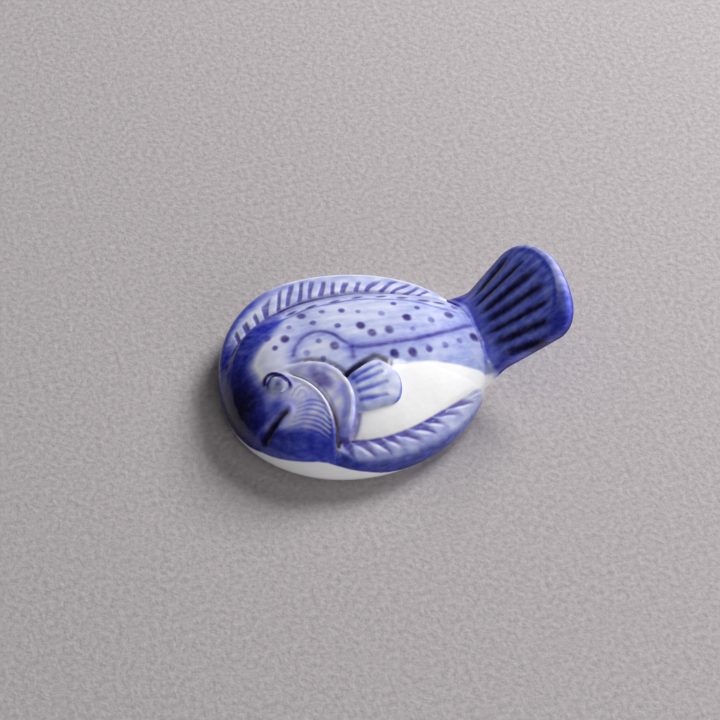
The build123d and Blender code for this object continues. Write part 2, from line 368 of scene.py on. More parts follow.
def jaw_blend(x, y):
    """Width over which the jaw runs into the anal fin, wider towards the rim."""
    return 0.5 + 3.0 * smooth(0.84, 1.0, oval_share(RIM, x, y))


def dorsal_zone(x, y):
    """1 on the dorsal fin, 0 elsewhere."""
    gap, _, angle = fin_place(DORSAL_ROOT, x, y)
    return smooth(-0.7, 0.45, gap) * window(*DORSAL_SPAN, angle)


def anal_zone(x, y):
    """1 on the anal fin, 0 elsewhere; it ends at the jaw."""
    gap, _, angle = fin_place(ANAL_ROOT, x, y)
    behind_jaw = smooth(0.0, jaw_blend(x, y), circle_gap(CHEEK, x, y))
    return smooth(-0.8, 0.5, gap) * window(*ANAL_SPAN, angle) * behind_jaw


def plain_height(x, y):
    """The trunk without relief: body, head's dome in front, low fins at the edges."""
    share = np.minimum(oval_share(RIM, x, y), 1)
    tuck = (1 - share ** BODY_EDGE[0]) ** BODY_EDGE[1]
    body = RIM_HEIGHT + (body_height(x, y) - RIM_HEIGHT) * tuck
    gill = fade(-0.35, 0.5, circle_gap(GILL, x, y))
    cheek = fade(-0.3, jaw_blend(x, y) - 0.2, circle_gap(CHEEK, x, y))
    nape = fade(-3.0, 6.0, circle_gap(FOREHEAD_CIRCLE, x, y))
    front = np.maximum(np.maximum(gill, cheek), nape)
    trunk = body + (head_height(x, y) - body) * front
    fins = np.maximum(dorsal_zone(x, y), anal_zone(x, y))
    return trunk + (brim_height(x, y) - trunk) * fins


def beside(at, first, step, count):
    """Distance to the nearest of a row of evenly spaced strokes, in steps."""
    turn = (at - first) / step
    return np.abs(turn - np.clip(np.round(turn), 0, count - 1))


def dorsal_strokes(x, gap, across):
    """Strokes across the dorsal fin that lean to the tail: 1 on each, 0 between."""
    lean = 0.42 * smooth(-19.0, -14.0, x) + 0.6 * smooth(-4.0, 7.0, x)
    uneven = 0.16 * np.sin(1.4 * x + 1.0)
    off = beside(x - lean * gap + uneven, DORSAL_FIRST, DORSAL_STEP, DORSAL_STROKES) * DORSAL_STEP
    end = 0.66 + 0.14 * np.sin(x * 0.35 + 5.2)
    return fade(0.26, 0.5, off) * window(0.02, 0.1, end - 0.12, end, across)


def anal_strokes(angle, across):
    """Wedges that point outwards from the anal fin's root."""
    uneven = 1.1 * np.sin(0.23 * angle)
    off = beside(angle - 10.0 * across + uneven, ANAL_FIRST, ANAL_STEP, ANAL_STROKES)
    half = 0.5 - 0.5 * np.clip(across / 0.75, 0, 1)
    return fade(half - 0.25, half + 0.2, off) * fade(0.6, 0.9, across)


def gill_relief(x, y):
    """A crevice behind the cheek, and a rounded lip at the gill cover's rear edge."""
    inner, outer = circle_gap(CHEEK, x, y), circle_gap(GILL, x, y)
    across = np.clip(inner / np.maximum(inner - outer, 0.05), 0, 1)
    cover = smooth(-0.1, 0.3, inner) * fade(-0.2, 0.3, outer)
    sunk = -0.4 * fade(0.0, 0.85, across) * cover
    crevice = -0.5 * hump(inner - 0.25, 0.32) * (outer < 1.5)
    lip = 0.16 * hump(outer + 0.55, 0.5) * (inner > 0)
    groove = -0.3 * hump(outer - 0.45, 0.4) * (inner > 0.3)
    edge = 0.12 * hump(inner + 0.35, 0.3)
    return (sunk + crevice + lip + groove + edge) * smooth(-18.8, -16.6, x) * smooth(-17.8, -15.8, y)


def face_relief(x, y):
    """Raised eyelid, the mouth's slit with a swelling beside it, and cheek folds."""
    lid, _ = near_line(EYELID, x, y)
    slit, place = near_line(MOUTH, x, y)
    relief = 0.28 * hump(lid, 0.32) + 0.14 * hump(slit - 0.95, 0.45)
    relief = relief - (0.6 - 0.35 * place) * hump(slit, 0.56 - 0.24 * place)
    for line in WRINKLES:
        fold, place = near_line(line, x, y)
        relief = relief - 0.07 * hump(fold, 0.26) * smooth(0.0, 0.3, place)
    return relief


def flank_relief(x, y):
    """The crevice above the pectoral fin and the shallow lateral line."""
    gap, place = near_line(PECTORAL_GAP, x, y)
    relief = -0.5 * hump(gap, 0.4) * fade(0.55, 0.95, place)
    for path in (LATERAL, LATERAL_REAR):
        line, _ = near_line(path, x, y)
        relief = relief - 0.1 * hump(line, 0.28)
    return relief


def fin_relief(x, y):
    """Strokes in the edge fins, a groove along each root, and the dorsal fin's hollow."""
    gap, across, _ = fin_place(DORSAL_ROOT, x, y)
    zone = dorsal_zone(x, y)
    hollow = 0.3 * np.sin(tau / 2 * np.clip(across, 0, 1)) ** 2
    groove = 0.3 * hump(gap - 0.15, 0.4) * zone
    relief = -zone * (0.14 * dorsal_strokes(x, gap, across) + hollow + groove)
    gap, across, angle = fin_place(ANAL_ROOT, x, y)
    zone = anal_zone(x, y) * smooth(-0.4, 0.2, gap)
    return relief - zone * (0.12 * anal_strokes(angle, across) + 0.15 * hump(gap - 0.1, 0.35))


def trunk_height(x, y):
    """Height of the trunk with its relief."""
    relief = gill_relief(x, y) + face_relief(x, y) + flank_relief(x, y) + fin_relief(x, y)
    return np.maximum(plain_height(x, y) + relief, RIM_HEIGHT)


def region(x, y):
    """Which piece of the trunk a point seen from above belongs to."""
    cheek = circle_gap(CHEEK, x, y)
    fore = (circle_gap(FOREHEAD_CIRCLE, x, y) < 0) & (y > FOREHEAD_FOOT) & (y < FOREHEAD_TOP)
    gap, _, angle = fin_place(ANAL_ROOT, x, y)
    found = np.full(np.shape(x), BACK)
    found[circle_gap(GILL, x, y) < 0] = COVER
    found[dorsal_zone(x, y) > 0.5] = DORSAL
    found[(gap > 0) & (angle > ANAL_ENDS[0]) & (angle < ANAL_ENDS[1]) & (cheek > 0)] = ANAL
    found[fore | (cheek < 0)] = HEAD
    return found


# Meshes


def new_piece(name, points, faces, normals=None):
    """A mesh object from points in millimetres."""
    mesh = bpy.data.meshes.new(name)
    mesh.from_pydata((np.asarray(points) * MM).tolist(), [], faces)
    mesh.update()
    mesh.polygons.foreach_set("use_smooth", np.ones(len(mesh.polygons), bool))
    if normals is not None:
        mesh.normals_split_custom_set(normals)
    piece = bpy.data.objects.new(name, mesh)
    bpy.context.scene.collection.objects.link(piece)
    return piece


def round_pairs(count):
    """Each column with the one after it, the last with the first."""
    return [(a, (a + 1) % count) for a in range(count)]


def disc_plan(reach, centre, rows, columns):
    """Points of a disc in rings that are closer at its edge, and each one's share."""
    angles = np.linspace(0, tau, columns, endpoint=False)
    shares = np.sin(np.linspace(0, tau / 4, rows + 1)[1:])
    x = centre[0] + np.outer(shares, reach(angles) * np.cos(angles))
    y = centre[1] + np.outer(shares, reach(angles) * np.sin(angles))
    plan = np.vstack([[centre], np.stack([x.ravel(), y.ravel()], 1)])
    return plan, np.concatenate([[0], np.repeat(shares, columns)])


def disc_faces(rows, columns):
    """A fan round the disc's centre, then rings of four-sided faces."""
    pairs = round_pairs(columns)
    faces = [(0, 1 + a, 1 + b) for a, b in pairs]
    for row in range(rows - 1):
        near = 1 + row * columns
        far = near + columns
        faces += [(near + a, far + a, far + b, near + b) for a, b in pairs]
    return faces


def face_regions(plan, faces, rounds=4):
    """The region of every face, with corners that only touch at a point evened out."""
    middles = np.array([plan[list(face)].mean(0) for face in faces])
    grid = region(middles[:, 0], middles[:, 1]).reshape(TRUNK_ROWS, TRUNK_COLUMNS)
    for _ in range(rounds):
        right = np.roll(grid, -1, 1)
        up, across = grid[1:], right[1:]
        crossed = (grid[:-1] == across) & (up == right[:-1]) & (grid[:-1] != up)
        grid[1:][crossed] = grid[:-1][crossed]
    return grid.ravel()


def edges_of(face):
    return list(zip(face, face[1:] + face[:1]))


def seam_neighbours(faces, regions):
    """For each vertex on a seam, the seam vertices next to it."""
    owner = {}
    joined = {}
    for face, number in zip(faces, regions):
        for a, b in edges_of(face):
            other = owner.pop((b, a), None)
            if other is None:
                owner[(a, b)] = number
            elif other != number:
                joined.setdefault(a, []).append(b)
                joined.setdefault(b, []).append(a)
    return joined


def even_seams(plan, faces, regions, rounds=12):
    """Smooths the seams between pieces, which follow the grid's cells, in plan."""
    seams = seam_neighbours(faces, regions)
    rim_start = len(plan) - TRUNK_COLUMNS
    free = [v for v, near in seams.items() if len(near) == 2 and v < rim_start]
    pairs = np.array([seams[v] for v in free])
    for _ in range(rounds):
        plan[free] = 0.5 * plan[free] + 0.25 * (plan[pairs[:, 0]] + plan[pairs[:, 1]])
    return plan


def vertex_normals(points, faces):
    """Normals of the whole trunk, so that shading runs on across its seams."""
    normals = np.zeros_like(points)
    for size in (3, 4):
        some = np.array([face for face in faces if len(face) == size])
        first = points[some[:, 2]] - points[some[:, 0]]
        second = points[some[:, -1]] - points[some[:, 1]]
        facing = np.cross(first, second)
        for corner in range(size):
            np.add.at(normals, some[:, corner], facing)
    return normals / np.maximum(np.linalg.norm(normals, axis=1), 1e-12)[:, None]


def border(faces):
    """Edges that only one face has, as each vertex and the one after it."""
    taken = {edge for face in faces for edge in edges_of(face)}
    return {a: b for a, b in sorted(taken) if (b, a) not in taken}


def loops(following):
    """The closed loops of a border."""
    left = dict(following)
    found = []
    while left:
        start = min(left)
        loop = [start]
        step = left.pop(start)
        while step != start:
            loop.append(step)
            step = left.pop(step)
        found.append(loop)
    return found


def trunk_piece(name, number, points, faces, regions, normals):
    """A region of the trunk, closed by walls along its seams and a flat underside."""
    own = [face for face, found in zip(faces, regions) if found == number]
    following = border(own)
    rim_start = len(points) - TRUNK_COLUMNS
    used = sorted({v for face in own for v in face})
    local = {v: i for i, v in enumerate(used)}
    corners = [points[v] for v in used]
    foot = {}
    for v in sorted(following):
        foot[v] = local[v]
        if v < rim_start:
            foot[v] = len(corners)
            corners.append((points[v][0], points[v][1], RIM_HEIGHT))
    tops = [tuple(local[v] for v in face) for face in own]
    shading = [normals[v] for face in own for v in face]
    sides = []
    for a, b in sorted(following.items()):
        wall = [local[b], local[a], foot[a], foot[b]]
        wall = [v for i, v in enumerate(wall) if v != wall[i - 1]]
        if len(wall) > 2:
            sides.append(tuple(wall))
    sides += [tuple(foot[v] for v in reversed(loop)) for loop in loops(following)]
    shading += [(0, 0, 0)] * sum(len(side) for side in sides)
    return new_piece(name, corners, tops + sides, shading), np.array(corners)


def outline_reach(points, centre):
    """Distance from a centre to a closed outline, as a function of direction."""
    away = np.array(points, float) - centre
    angles = np.arctan2(away[:, 1], away[:, 0])
    order = np.argsort(angles)
    angles, lengths = angles[order], np.hypot(*away.T)[order]

    def reach(angle):
        return np.interp(angle, angles, lengths, period=tau)

    return reach


def pillow(name, reach, centre, mesh, heights, roundness, place):
    """A closed piece whose upper and lower faces round off and meet along an outline."""
    plan, share = disc_plan(reach, centre, *mesh)
    u, v = plan.T
    fullness = (1 - share**roundness) ** (1 / roundness)
    high, low = [height(u, v) for height in heights]
    middle = (high + low) / 2
    over = place(u, v, middle + (high - middle) * fullness)
    under = place(u, v, middle + (low - middle) * fullness)
    count = len(plan)
    inner = count - mesh[1]
    upper = disc_faces(*mesh)
    lower = [tuple(i + count if i < inner else i for i in reversed(face)) for face in upper]
    piece = new_piece(name, np.vstack([over, under[:inner]]), upper + lower)
    return piece, np.vstack([plan, plan[:inner]])


def from_above(x, y, z):
    """Place of a point given as seen from above."""
    return np.stack([x, y, z], 1)


# Shapes of the eye, the pectoral fin and the tail


def eye_outline(steps=90):
    """The eye's oval, turned to lie along the lid."""
    angles = np.linspace(0, tau, steps, endpoint=False)
    along, across = EYE_HALF_LENGTH * np.cos(angles), EYE_HALF_WIDTH * np.sin(angles)
    x = EYE_CENTRE[0] + along * cos(EYE_TURN) - across * sin(EYE_TURN)
    y = EYE_CENTRE[1] + along * sin(EYE_TURN) + across * cos(EYE_TURN)
    return np.stack([x, y], 1)


def eye_top(x, y):
    """Upper face of the eye, with a small knob at its corner."""
    return plain_height(x, y) + EYE_LIFT + 0.25 * patch(x, y, EYE_KNOB, 0.4)


def eye_bottom(x, y):
    return plain_height(x, y) - EYE_DEPTH


def pectoral_strokes(x, y):
    """Brush strokes along the fan: 1 in the middle of each, 0 between."""
    found = np.zeros(np.shape(x))
    for line in PECTORAL_STROKES:
        gap, place = near_line(line, x, y)
        found = np.maximum(found, hump(gap, 0.42 - 0.14 * place))
    return found


def pectoral_top(x, y):
    """The fin's upper face, tucked under the gill cover's lip at its root."""
    lift = 0.2 + 0.5 * smooth(-10.2, -8.0, x)
    return body_height(x, y) + lift - 0.13 * pectoral_strokes(x, y)


def pectoral_bottom(x, y):
    return body_height(x, y) - PECTORAL_DEPTH


def tail_straight(s):
    """Half the tail's width without its round end, the mean of both sides."""
    return TAIL_MEAN_ROOT + (TAIL_MEAN_END - TAIL_MEAN_ROOT) * np.clip(s / TAIL_MEAN_RUN, 0, 1)


def tail_half(s, side):
    """Width of one side of the tail, which flares into the body at its root."""
    straight = side.root + (side.end - side.root) * np.clip(s / side.square, 0, 1)
    round_part = np.clip((s - side.square) / (TAIL_REACH - side.square), 0, 1)
    flare = side.flare * fade(side.flare_from, side.flare_to, s)
    return straight * (1 - round_part**side.power) ** (1 / side.power) + flare


def tail_outline():
    """The tail seen square to its face: flared root, straight sides and a round end."""
    turn, steps, root_steps = 9.0, 60, 13
    swing = np.sin(np.linspace(0.02, tau / 4, steps))
    s = np.concatenate([np.linspace(TAIL_START, turn, steps), turn + (TAIL_REACH - turn) * swing])
    dorsal = np.stack([s, tail_half(s, TAIL_DORSAL)], 1)
    ventral = np.stack([s, -tail_half(s, TAIL_VENTRAL)], 1)
    across = np.linspace(*TAIL_ROOT_EDGE, root_steps)
    root = np.stack([np.full_like(across, TAIL_START), across], 1)
    return np.vstack([dorsal, ventral[:-1][::-1], root])


def tail_arch(s):
    """How far the tail's edges hang below its middle, most near the root."""
    return TAIL_ARCH * (1 - np.clip(s / TAIL_REACH, 0, 1)) + TAIL_ARCH_END


def tail_rays(s, u):
    """Distance between rays, and the place across the tail in rays from the middle one."""
    step = RAY_STEP + RAY_SPREAD * s
    return step, (u + RAY_SHIFT + RAY_DRIFT * s) / step


def tail_strokes(s, u):
    """Grooves that spread from the root to just short of the tail's end."""
    step, turn = tail_rays(s, u)
    number = np.clip(np.round(turn), -RAYS_BESIDE_MIDDLE, RAYS_BESIDE_MIDDLE)
    start, end = 1.0 + 0.4 * np.cos(number * 2.0), 14.2 - 0.45 * number**2
    length = window(start - 1.0, start + 2.4, end - 2.4, end + 0.3, s)
    width = (0.36 + 0.3 * length) * (1 + 0.16 * np.sin(number * 2.1 + 0.4))
    return hump((turn - number) * step, width) * length


def tail_top(s, u):
    """The upper face: arched near the root, with a crease across it and ray grooves."""
    crease = s - lookup(TAIL_CREASE, u)
    relief = 0.12 * hump(crease + 0.3, 0.3) - 0.16 * hump(crease - 0.25, 0.35)
    return relief - tail_arch(s) * (u / tail_straight(s)) ** 2 - 0.2 * tail_strokes(s, u)


def tail_bottom(s, u):
    """The underside, fullest along the middle."""
    middle = TAIL_DEPTH - TAIL_TAPER * np.clip(s / TAIL_REACH, -0.2, 1)
    edge = tail_arch(s) + TAIL_EDGE_DEPTH
    return -middle + (middle - edge) * np.minimum((u / tail_straight(s)) ** 2, 1.2)


def tail_line(steps=400):
    """Middle line, level at first and then bent up: s, x, z and tilt."""
    s = np.linspace(TAIL_START, TAIL_REACH, steps)
    tilt = TAIL_TILT * smooth(*TAIL_BEND, s)
    step = s[1] - s[0]
    x, z = np.cumsum(np.cos(tilt)) * step, np.cumsum(np.sin(tilt)) * step
    end_x = TAIL_ROOT[0] + TAIL_REACH * cos(TAIL_TILT)
    end_z = TAIL_ROOT[2] + TAIL_REACH * sin(TAIL_TILT)
    return s, x - x[-1] + end_x, z - z[-1] + end_z, tilt


def tail_place(s, u, w):
    """Place of a point given along the tail, across it and above its middle line."""
    places, x, z, tilt = tail_line()
    turn = np.interp(s, places, tilt)
    at_x = np.interp(s, places, x) - w * np.sin(turn)
    at_z = np.interp(s, places, z) + w * np.cos(turn)
    return np.stack([at_x, TAIL_ROOT[1] + u, at_z], 1)


# Paint under the glaze, as it looks on a screen
CLAY = (247, 247, 248)
HAZE = (162, 172, 220)
LILAC = (122, 126, 246)
VIOLET = (84, 76, 158)
GROOVE_INK = (44, 32, 104)
COBALT = (46, 56, 182)
NAVY = (54, 61, 130)
DEEP = (32, 28, 124)
INK = (25, 21, 58)
UMBER = (96, 82, 78)
CREAM = (216, 208, 198)
TAIL_BLUE = (128, 143, 250)
LAVENDER = (220, 222, 255)
MAUVE = (112, 102, 170)
SHADE = (112, 120, 206)
JAW_BLUE = (66, 77, 190)
# Pale blue painted as a highlight on the tail's rounded end
RIM_HIGHLIGHT = (186, 190, 230)
# Painted highlight on the tail's ridges between its grooves
RIDGE_HIGHLIGHT_BLUE = (128, 144, 250)
ROOT_BLUE = (130, 138, 252)

# Edges of painted areas: the white belly's y by x, the dark snout's x by y, the anal fin's outer band as a
# share of the fin by direction, and the height at which the paint ends above the foot by direction
BELLY_EDGE = [
    (-12.0, -6.4), (-1.0, -6.7), (2.0, -6.6), (4.2, -6.8), (7.3, -7.4), (10.2, -8.4), (12.9, -9.0),
    (17.0, -9.6),
]
DARK_EDGE = [
    (-19.0, -11.0), (-15.1, -15.0), (-13.5, -17.4), (-12.0, -19.8), (-11.0, -21.3), (-10.2, -23.4),
    (-9.1, -24.1), (-8.5, -23.5), (-7.6, -22.9), (-5.9, -22.8), (-4.4, -22.7), (-3.6, -22.4), (-2.3, -22.6),
    (-1.5, -23.4), (0.2, -23.6), (1.7, -23.5), (2.8, -23.0), (4.2, -22.0), (5.2, -20.5), (5.8, -19.2),
    (7.2, -17.5), (9.2, -14.0),
]
ANAL_BAND = [
    (236, 0.3), (246, 0.6), (256, 0.84), (270, 0.95), (290, 0.99), (305, 1.04), (318, 1.1), (330, 1.12),
]
FOOT_EDGE = [
    (0, 2.6), (190, 2.4), (201, 2.75), (208, 3.4), (217, 4.0), (225, 4.6), (235, 5.3), (240, 5.3), (246, 4.7),
    (253, 4.1), (259, 3.5), (266, 2.6), (276, 1.7), (290, 0.8), (325, 0.6), (338, 2.6), (360, 2.6),
]

# Marks on the back
BIG_SPOTS = [
    (-12.5, 8.4), (3.6, 2.1), (-4.3, 2.2), (-3.0, 0.1), (-0.1, 0.0), (-16.6, 4.0), (-0.8, -4.7), (13.5, -3.1),
    (-9.6, -0.6), (10.8, 1.8), (2.2, -5.0),
]
SPOTS = [
    (-9.1, 8.0), (-6.0, 7.0), (-3.6, 5.7), (-0.1, 4.0), (2.7, 6.2), (6.1, 4.2), (7.4, 0.8), (-15.2, 6.4),
    (-11.3, 5.7), (-7.8, 3.4), (3.7, -0.7), (-19.1, 5.6), (-18.6, 2.9), (-11.7, 1.3), (-14.2, -0.3),
    (-12.0, -2.3), (5.1, -4.8), (8.0, -4.4), (10.7, -3.8), (12.6, 4.2),
]
DASHES = [
    (-20.8, 7.5), (-17.5, 8.9), (-13.6, 10.4), (-10.1, 10.6), (-6.1, 10.5), (-2.2, 10.4), (1.6, 9.3),
    (4.8, 7.9), (8.0, 6.3), (10.3, 5.4),
]
SECOND_LINE = [
    (-23.4, 6.6), (-20.1, 7.0), (-15.3, 9.0), (-10.9, 10.0), (-7.4, 9.9), (-2.5, 9.5), (2.0, 7.9), (5.6, 6.6),
    (9.6, 3.9), (12.2, 2.6),
]
# Lateral line in three strokes: points, width, width of its shade, and strength at its start and end
LATERAL_LINES = [
    (LATERAL, 0.34, 1.1, 0.6, 0.95),
    (LATERAL_REAR, 0.4, 1.3, 1.0, 0.75),
    (LATERAL_HOOK, 0.46, 1.2, 0.95, 0.5),
]

# Centres of soft patches of paint
NAPE_LIGHT = (-18.6, 1.6)
BACK_LIGHT = (-4.0, 7.5)
CHEEK_LIGHT = (-17.2, -6.2)
CHEEK_BLUE = (-21.6, -7.4)
SNOUT_BLACK = (-26.8, -4.4)
SNOUT_BLUE = (-24.2, -6.4)
COVER_MAUVE = (-13.5, -6.0)
PECTORAL_BLUE = (-8.6, -7.2)
PECTORAL_ARC = (-5.4, -9.0, 4.2)


def wash(x, y, size):
    """A soft uneven wash between -1 and 1."""
    across = np.sin(y / size * 1.2 + 1.7 * np.sin(x / size * 0.6 + 1.0))
    return np.sin(x / size + 1.3 * np.sin(y / size * 0.8)) * across


def coats(colour, *layers):
    """Lays coats over a colour, each a pigment or painting and its amount from 0 to 1."""
    colour = np.asarray(colour, float)
    for pigment, amount in layers:
        colour = colour + (np.asarray(pigment, float) - colour) * np.clip(amount, 0, 1)[:, None]
    return colour


def drawn(points, x, y, pigment, width, start, end):
    """Coat of a painted line whose strength runs from start to end along it."""
    gap, place = near_line(points, x, y)
    return pigment, (start + (end - start) * place) * hump(gap, width)


def shifted(points, dx, dy):
    return [(x + dx, y + dy) for x, y in points]


def dot(centre, x, y, pigment, radius, amount):
    """Coat of a painted spot with a soft edge."""
    gap = np.hypot(x - centre[0], (y - centre[1]) * 0.85)
    return pigment, amount * fade(radius * 0.5, radius * 1.25, gap)


def back_wash(x, y):
    """Blue wash, thin on the nape, deeper towards the tail and the dorsal fin's front."""
    nape = patch(x, y, NAPE_LIGHT, 3.6, 0.8)
    streaks = wash(x * 0.3 + y * 0.1, y, 0.7)
    depth = 0.72 + 0.12 * wash(x, y, 2.6) + 0.16 * streaks + 0.16 * smooth(5.0, 13.0, x) - 0.45 * nape
    depth = depth + 0.16 * fade(-7.0, -1.5, y) - 0.2 * patch(x, y, BACK_LIGHT, 4.0)
    gap, _, angle = fin_place(DORSAL_ROOT, x, y)
    band = smooth(-3.4, -1.2, gap) * fade(160.0, 178.0, angle)
    strength = (0.12 + 0.75 * fade(-21.0, -9.0, x)) * (0.75 + 0.3 * wash(x + y, y - x, 0.6))
    return coats(CLAY, (HAZE, depth), (LAVENDER, 0.6 * nape), (COBALT, band * strength))


def back_marks(x, y):
    """Coats of the lateral line, the spots, and dashes below the dorsal fin."""
    for path, width, shade, start, end in LATERAL_LINES:
        yield drawn(path, x, y, SHADE, shade, 0.55, 0.35)
        yield drawn(path, x, y, VIOLET, width, start, end)
    yield drawn(SECOND_LINE, x, y, COBALT, 0.3, 0.7, 0.4)
    for index, centre in enumerate(SPOTS):
        radius = 0.56 + 0.08 * np.sin(index * 2.4)
        yield dot(centre, x, y, VIOLET, radius, 0.66 + 0.2 * np.sin(index * 1.7))
    for index, centre in enumerate(BIG_SPOTS):
        yield dot(centre, x, y, GROOVE_INK, 0.8, 0.72 + 0.14 * np.sin(index * 1.3))
    for index, (at_x, at_y) in enumerate(DASHES):
        slope = 0.5 - 0.09 * index
        off = y - at_y - slope * (x - at_x)
        mark = fade(0.35, 1.1, np.hypot((x - at_x) * 0.8, off * 1.7))
        yield GROOVE_INK, mark * (0.95 - 0.04 * index)


def back_paint(x, y):
    """Blue flank and nape, with lines and spots above a white belly."""
    above = y - lookup(BELLY_EDGE, x) + 0.12 * wash(x, y, 1.5)
    return coats(back_wash(x, y), *back_marks(x, y), (CLAY, fade(-0.25, 0.25, above)))


def cheek_folds(x, y):
    """Coats of the cheek's fine light and dark swirls, and blue folds with a painted highlight beside each.
    """
    for line in SWIRLS:
        yield drawn(line, x, y, CLAY, 0.22, 0.6, 0.4)
        yield drawn(shifted(line, -0.1, -0.35), x, y, VIOLET, 0.16, 0.25, 0.15)
    for line in WRINKLES:
        yield drawn(line, x, y, COBALT, 0.2, 0.2, 0.6)
        # white line beside each fold: a painted highlight on the fold's edge
        yield drawn(shifted(line, 0.1, 0.3), x, y, CLAY, 0.15, 0.15, 0.6)


def cheek_paint(x, y):
    """Lilac cheek with fine folds, bluer towards the mouth and the jaw."""
    return coats(
        CLAY,
        (LILAC, 0.5 + 0.2 * wash(x, y, 1.0)),
        (LAVENDER, 0.9 * patch(x, y, CHEEK_LIGHT, 2.2)),
        (COBALT, 0.62 * fade(-14.5, -10.5, y)),
        (COBALT, 0.7 * patch(x, y, CHEEK_BLUE, 1.6)),
        *cheek_folds(x, y),
    )


def dark_paint(x, y):
    """Deep cobalt snout, nearly black where thickest, brighter on brow and jaw."""
    strokes = 0.5 + 0.5 * wash(x * 0.4 - y * 0.3, x * 0.8 + y, 0.45)
    jaw = fade(-13.0, -9.6, y + 0.25 * (x + 23.0))
    return coats(
        DEEP,
        (COBALT, 0.75 * smooth(-1.0, 5.0, y) + 0.15 * wash(x + y, x - y, 0.8)),
        (SHADE, 0.5 * strokes * smooth(0.5, 6.0, y)),
        (INK, 0.95 * patch(x, y, SNOUT_BLACK, 3.4, 0.85)),
        (COBALT, 0.5 * patch(x, y, SNOUT_BLUE, 1.3)),
        (JAW_BLUE, 0.9 * jaw),
        (NAVY, 0.5 * jaw * fade(-23.0, -19.0, x)),
    )


def cover_paint(x, y):
    """Pale gill cover with a violet patch and a painted white highlight along its lip."""
    outer = circle_gap(GILL, x, y)
    dx, dy = x - COVER_MAUVE[0], y - COVER_MAUVE[1]
    along, off = dx * 0.53 - dy * 0.85, dx * 0.85 + dy * 0.53
    return coats(
        CLAY,
        (LILAC, 0.36 + 0.22 * wash(x, y, 0.8)),
        (COBALT, 0.04 * (1 + wash(x, y, 0.5))),
        (MAUVE, 0.8 * fade(0.5, 1.4, np.hypot(along * 0.42, off * 0.95))),
        (COBALT, 0.3 * hump(outer + 1.6, 0.5) * fade(-9.5, -7.5, y)),
        (COBALT, 0.75 * fade(-16.4, -13.2, y)),
        # painted highlight: white along the cover's rounded lip
        (CLAY, 0.5 * hump(outer + 0.6, 0.3) * smooth(-15.5, -13.0, y)),
    )


def dorsal_paint(x, y):
    """Violet strokes on a pale fin, its edge white behind and blue in front."""
    gap, across, angle = fin_place(DORSAL_ROOT, x, y)
    front = fade(-19.0, -10.0, x)
    return coats(
        CLAY,
        (HAZE, 0.62 + 0.25 * wash(x, y, 0.9) + 0.2 * smooth(0.45, 0.75, across)),
        (VIOLET, (0.9 - 0.3 * across) * dorsal_strokes(x, gap, across)),
        (COBALT, front * 0.8 * smooth(0.5, 0.85, across)),
        (CLAY, (1 - front) * 0.8 * smooth(0.74, 0.9, across)),
        (dark_paint(x, y), smooth(146.0, 160.0, angle + 6.0 * np.clip(across, 0, 1))),
    )


def anal_streaks(angle, across):
    """Thin pale gaps between the anal fin's wedges."""
    off = beside(angle - 16.0 * across, ANAL_FIRST + 0.5 * ANAL_STEP, ANAL_STEP, ANAL_STROKES)
    return fade(0.06, 0.3, off) * window(0.18, 0.34, 0.48, 0.8, across)


def anal_paint(x, y):
    """Violet wedges from the root, pale gaps between them, and a deep blue edge."""
    _, across, angle = fin_place(ANAL_ROOT, x, y)
    rear = smooth(288.0, 320.0, angle)
    band = lookup(ANAL_BAND, angle)
    deep = coats(NAVY, (COBALT, 0.45 + 0.4 * rear + 0.2 * wash(x, y, 1.0)))
    return coats(
        CLAY,
        (HAZE, 0.76 - 0.06 * rear + 0.2 * wash(x, y, 0.8)),
        (COBALT, (1 - rear) * (0.12 + 0.12 * wash(x, y, 0.6))),
        (VIOLET, (0.95 - 0.2 * rear) * anal_strokes(angle, across)),
        (CLAY, 0.6 * anal_streaks(angle, across)),
        (deep, smooth(band - 0.22, band + 0.05, across)),
    )


def foot_clay(x, y, z):
    """1 where the white clay shows between paint and foot."""
    edge = lookup(FOOT_EDGE, direction(x, y)[0])
    return fade(edge - 0.15, edge + 0.15, z)


def cheek_edge(x, y):
    """1 along the cheek's rear edge, 0 where it runs out at the eye and the jaw."""
    return smooth(-18.6, -17.0, x) * smooth(-17.8, -16.0, y)


def gill_coats(x, y):
    """The gill cover, with a painted violet shadow behind it and a brown fringe above."""
    outer = circle_gap(GILL, x, y)
    # shade: where a violet shadow is painted behind the cover's lip
    shade = hump(np.maximum(outer - 0.1, 0), 0.8) * window(-16.5, -14.5, -7.5, -5.0, y)
    fringe = hump(outer - 0.35, 0.4) * smooth(-8.0, -6.0, y) * smooth(-17.5, -14.5, x)
    return [
        (VIOLET, 0.75 * shade),
        (UMBER, fringe * (0.45 + 0.3 * wash(x, y, 0.4))),
        (cover_paint(x, y), smooth(-19.0, -16.4, x) * fade(-0.12, 0.12, outer)),
    ]


def head_coats(x, y):
    """The cheek with a painted highlight along its edge, and the dark snout with a pale line along the brow.
    """
    inner = circle_gap(CHEEK, x, y)
    # painted highlight: white along the cheek's raised rear edge
    highlight = hump(inner + 0.3, 0.22) * cheek_edge(x, y) * smooth(-14.5, -11.0, y)
    ahead = (x - lookup(DARK_EDGE, y)) * (1 - 0.5 * smooth(2.5, 6.0, y)) + 0.35 * wash(x, y, 1.2)
    head = 1 - smooth(0.0, 0.3, inner) * smooth(-17.0, -15.0, x)
    brow = hump(ahead - 1.5, 0.6) * window(-3.5, -2.0, 3.0, 6.0, y)
    return [
        (cheek_paint(x, y), fade(-0.1, 0.1, inner) * fade(-6.0, -3.0, y)),
        (CLAY, 0.55 * highlight),
        (COBALT, 0.85 * head * fade(-1.4, 1.8, ahead)),
        (CLAY, 0.65 * head * brow),
        (dark_paint(x, y), head * fade(-2.2, 0.5, ahead)),
    ]


